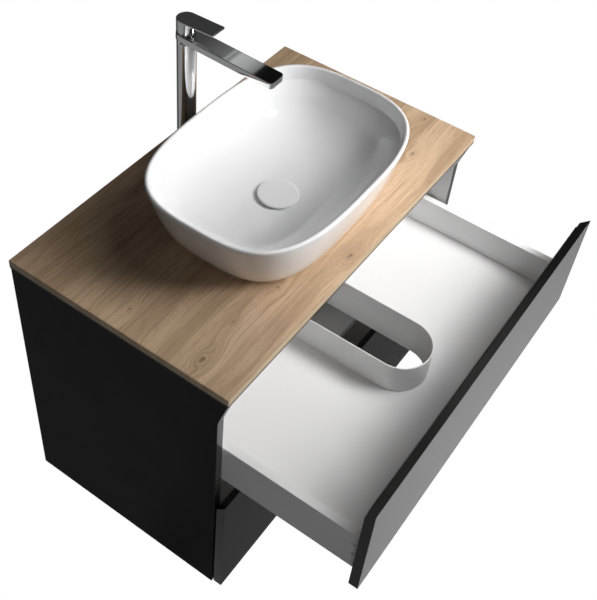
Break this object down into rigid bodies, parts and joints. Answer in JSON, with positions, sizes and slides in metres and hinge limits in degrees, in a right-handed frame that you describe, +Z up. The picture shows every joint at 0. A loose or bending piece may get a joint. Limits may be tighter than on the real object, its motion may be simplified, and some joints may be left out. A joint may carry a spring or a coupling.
{
  "type": "vessel sink on vanity",
  "caption": "Wall-hung bathroom vanity with drawers, an oak-look worktop, a rounded ceramic vessel basin and a tall chrome lever tap.",
  "frame": {"origin": "centre of the four wall-screw holes, on the wall plane", "axes": "+X to the right seen from the front, +Y into the wall, +Z up"},
  "size_m": [0.8, 0.728, 0.9191],
  "materials": {
    "oak_laminate": "matt oak-look laminate",
    "oak_edging": "matt oak-look edge band",
    "black_board": "matt black melamine board",
    "carcass_board": "light grey melamine board",
    "zinc": "die-cast zinc",
    "runner_steel": "zinc-plated steel",
    "white_glaze": "gloss white glaze",
    "silicone": "white silicone bead",
    "chrome": "polished chrome plate",
    "brass": "machined brass",
    "black_rubber": "matt rubber",
    "white_plastic": "white moulded plastic",
    "grey_plastic": "grey moulded plastic",
    "drawer_white": "white melamine board",
    "black_lacquer": "satin black lacquered board",
    "anodised_strip": "anodised aluminium"
  },
  "bodies": {
    "cabinet": {"worktop": "oak_laminate", "worktop_edging": "oak_edging", "side_panel_left": "black_board", "side_panel_right": "black_board", "bottom_panel": "carcass_board", "top_front_rail": "carcass_board", "top_back_rail": "carcass_board", "divider_rail": "carcass_board", "bottom_back_rail": "carcass_board", "cam_locks": "zinc", "worktop_screws": "runner_steel", "wall_plates": "runner_steel", "hanger_hooks": "runner_steel", "basin": "white_glaze", "basin_sealant": "silicone", "waste_body": "chrome", "waste_washer": "black_rubber", "waste_locknut": "brass", "trap_inlet_tube": "white_plastic", "trap_body": "white_plastic", "trap_cup": "white_plastic", "trap_outlet_tube": "white_plastic", "trap_slip_nuts": "white_plastic", "tap_body": "chrome", "tap_aerator": "grey_plastic", "tap_base_ring": "chrome", "tap_gasket": "black_rubber", "tap_shank": "brass", "tap_clamp_washer": "runner_steel", "tap_locknut": "brass", "tap_inlet_block": "brass", "tap_cartridge": "grey_plastic", "tap_cartridge_nut": "brass", "runner_cabinet_members": "runner_steel"},
    "tap_mixer": {"tap_cartridge_rotor": "grey_plastic"},
    "tap_handle": {"tap_lever": "chrome", "tap_stem": "brass", "tap_lever_screw": "runner_steel"},
    "waste_cover": {"waste_cap": "white_glaze", "waste_plunger": "brass"},
    "upper_drawer": {"upper_front": "black_lacquer", "upper_side_left": "drawer_white", "upper_side_right": "drawer_white", "upper_floor": "drawer_white", "upper_back": "drawer_white", "siphon_collar": "white_plastic", "upper_grip_strip": "anodised_strip", "upper_front_fixings": "zinc", "upper_runner_drawer": "runner_steel"},
    "upper_runners": {"upper_runner_middle": "runner_steel"},
    "lower_drawer": {"lower_front": "black_lacquer", "lower_side_left": "drawer_white", "lower_side_right": "drawer_white", "lower_floor": "drawer_white", "lower_back": "drawer_white", "lower_grip_strip": "anodised_strip", "lower_front_fixings": "zinc", "lower_runner_drawer": "runner_steel"},
    "lower_runners": {"lower_runner_middle": "runner_steel"}
  },
  "joints": [
    {"name": "upper_drawer_slide", "type": "slide", "parent": "cabinet", "child": "upper_drawer", "axis": [0, -1, 0], "range_m": [-0.268, 0.072]},
    {"name": "upper_runner_slide", "type": "slide", "parent": "cabinet", "child": "upper_runners", "axis": [0, -1, 0], "range_m": [-0.134, 0.036]},
    {"name": "lower_drawer_slide", "type": "slide", "parent": "cabinet", "child": "lower_drawer", "axis": [0, -1, 0], "range_m": [0, 0.34]},
    {"name": "lower_runner_slide", "type": "slide", "parent": "cabinet", "child": "lower_runners", "axis": [0, -1, 0], "range_m": [0, 0.17]},
    {"name": "tap_swivel", "type": "hinge", "parent": "cabinet", "child": "tap_mixer", "pos_m": [0, -0.055, 0.36], "axis": [0, 0, 1], "range_deg": [-45, 45]},
    {"name": "tap_lift", "type": "hinge", "parent": "tap_mixer", "child": "tap_handle", "pos_m": [0, -0.045, 0.361], "axis": [-1, 0, 0], "range_deg": [0, 20]},
    {"name": "waste_cap_slide", "type": "slide", "parent": "cabinet", "child": "waste_cover", "axis": [0, 0, 1], "range_m": [0, 0.006]}
  ],
  "couplings": [
    {"joint": "upper_runner_slide", "follows": "upper_drawer_slide", "ratio": 0.5},
    {"joint": "lower_runner_slide", "follows": "lower_drawer_slide", "ratio": 0.5}
  ]
}
